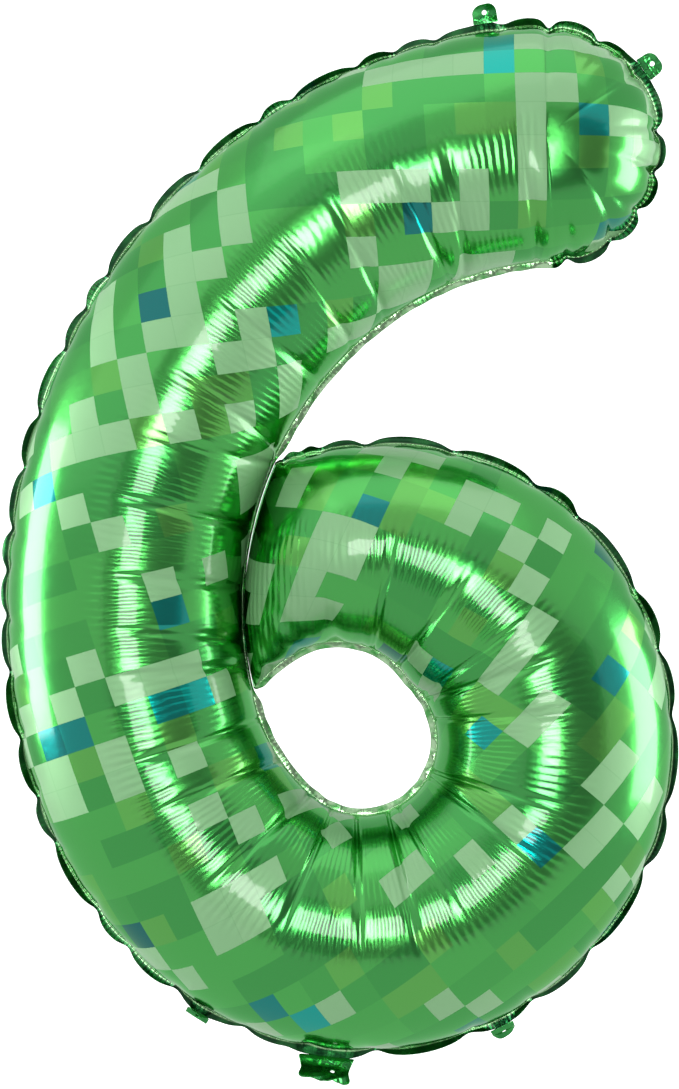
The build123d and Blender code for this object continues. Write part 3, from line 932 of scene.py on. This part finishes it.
TAB_FOIL = cut_foil("tab_foil", (0.04, 0.34, 0.07, 1), (0.015, 0.17, 0.04, 1), 0.14)
TAIL_FOIL = cut_foil("tail_foil", (0.05, 0.38, 0.08, 1), (0.02, 0.21, 0.05, 1), 0.12)
TAB_SIZE = (TAB_WIDTH, TAB_LENGTH, TAB_CORNER)
TAB_HOLE, TAB_HOLE_RADIUS = (0, 0.0095), 0.0022
TABS = (  # name, seed, curl, twist, crumpling and wave of each
    ("crown", 21, 0.35, 0.0080, 0.0006, 0.0008),
    ("tip", 22, -0.25, 0.0016, 0.0004, -0.0008),
    ("base_left", 23, 0.4, 0.0010, 0.0005, -0.0034),
    ("base_right", 24, 0.3, 0.0014, 0.0005, 0.0012),
)
for name, seed, curl, twist, crush, wave in TABS:
    shape = (TAB_HOLE, TAB_HOLE_RADIUS, seed, curl, twist, crush, wave)
    tab = tongue(f"tab_{name}", FOLDS[name], TAB_SIZE, *shape)
    dress(tab, TAB_FOIL, f"{name}_tab", "tab_film", f"hang_tab_{name}")

TAIL_SIZE = (TAIL_WIDTH, TAIL_LENGTH, TAIL_CORNER)
TAIL_HOLE = (-0.008, 0.015)
TAIL_SHAPE = (0.0024, 31, 0.5, 0.0032, 0.0014, -0.0022, 0.16)  # hole radius, seed, curl and so on
PLY_SHIFT = 0.0006
tail_front = tongue("tail_front", FOLDS["tail"], TAIL_SIZE, TAIL_HOLE, *TAIL_SHAPE, PLY_SHIFT)
dress(tail_front, TAIL_FOIL, "tail", "tail_film", "tail_ply_front", "tail_side_seals")
tail_back = tongue("tail_back", FOLDS["tail"], TAIL_SIZE, TAIL_HOLE, *TAIL_SHAPE, -PLY_SHIFT)
dress(tail_back, TAIL_FOIL, "tail", "tail_film", "tail_ply_back")

valve = make_valve(np.random.default_rng(SEED + 2))
dress(valve, clear_film(), "balloon", "valve_film", "valve_film_front", "valve_film_back")


# ---------------------------------------------------------------- stage, lights and camera
LOW, HIGH = CAD_BOX
MIDDLE = (Vector(LOW) + Vector(HIGH)) / 2


def plain(name, colour, roughness):
    paint = Paint(name, Roughness=roughness)
    paint.bsdf.inputs["Base Color"].default_value = colour
    return paint.material


def card(name, centre, size, turn, material, mirrored=False):
    """Flat stage surface. The foil mirrors a mirrored one, and the camera sees any other."""
    mesh = bpy.data.meshes.new(name)
    w, h = size[0] / 2, size[1] / 2
    mesh.from_pydata([(-w, -h, 0), (w, -h, 0), (w, h, 0), (-w, h, 0)], [], [(0, 1, 2, 3)])
    obj = bpy.data.objects.new(name, mesh)
    obj.location, obj.rotation_euler = centre, turn
    mesh.materials.append(material)
    bpy.context.scene.collection.objects.link(obj)
    obj.visible_glossy = obj.visible_diffuse = mirrored
    obj.visible_camera = not mirrored


def softbox(name, centre, size, power):
    """White area light that faces the balloon's middle."""
    data = bpy.data.lights.new(name, "AREA")
    data.shape = "RECTANGLE"
    data.size, data.size_y = size
    data.energy = power
    obj = bpy.data.objects.new(name, data)
    obj.location = centre
    obj.rotation_euler = (MIDDLE - Vector(centre)).to_track_quat("-Z", "Y").to_euler()
    bpy.context.scene.collection.objects.link(obj)


ROOM = 9.0  # from the middle of the floor to each wall
WALL_HEIGHT = 10.0
FLOOR_GAP = 0.004  # below the balloon's lowest point
PALE = plain("pale_stage", (0.93, 0.93, 0.93, 1), 0.6)
glow = PALE.node_tree.nodes["Principled BSDF"].inputs
glow["Emission Color"].default_value = (1, 1, 1, 1)
glow["Emission Strength"].default_value = 0.85
DARK = plain("dark_cloth", (0.28, 0.28, 0.28, 1), 0.8)
# the cloth hangs behind the camera
card("dark_cloth", (2.0, -4.9, 0.2), (8.0, 4.4), (math.pi / 2, 0, 0), DARK, mirrored=True)
card("floor", (0, 0, LOW[2] - FLOOR_GAP), (2 * ROOM, 2 * ROOM), (0, 0, 0), PALE)
for side in range(4):
    turn = side * math.pi / 2
    centre = (ROOM * math.sin(turn), -ROOM * math.cos(turn), WALL_HEIGHT / 2 - 1)
    card(f"wall_{side}", centre, (2 * ROOM, WALL_HEIGHT), (math.pi / 2, 0, turn), PALE)

softbox("front_softbox", (MIDDLE.x, -4.2, MIDDLE.z), (1.2, 1.3), 57)
softbox("left_softbox", (-2.3, 0.1, MIDDLE.z + 0.05), (1.1, 1.5), 42)
softbox("right_softbox", (2.3, 0.1, MIDDLE.z), (1.3, 1.5), 38)
softbox("top_left_fill", (-1.9, -1.7, 2.1), (2.4, 2.4), 6)
softbox("top_light", (0, -0.6, 3.0), (3.2, 2.4), 16)

world = bpy.data.worlds.new("studio")
world.use_nodes = True
sky = world.node_tree.nodes["Background"].inputs
sky["Color"].default_value = (1, 1, 1, 1)
sky["Strength"].default_value = 0.8
bpy.context.scene.world = world

camera_data = bpy.data.cameras.new("camera")
camera_data.sensor_fit = "VERTICAL"
camera_data.sensor_height = 24
camera_data.lens = 88.5
camera = bpy.data.objects.new("camera", camera_data)
camera.location = (MIDDLE.x, -3.5, MIDDLE.z)
camera.rotation_euler = (math.pi / 2, 0, 0)
bpy.context.scene.collection.objects.link(camera)
bpy.context.scene.camera = camera
bpy.context.scene.view_settings.view_transform = "Standard"
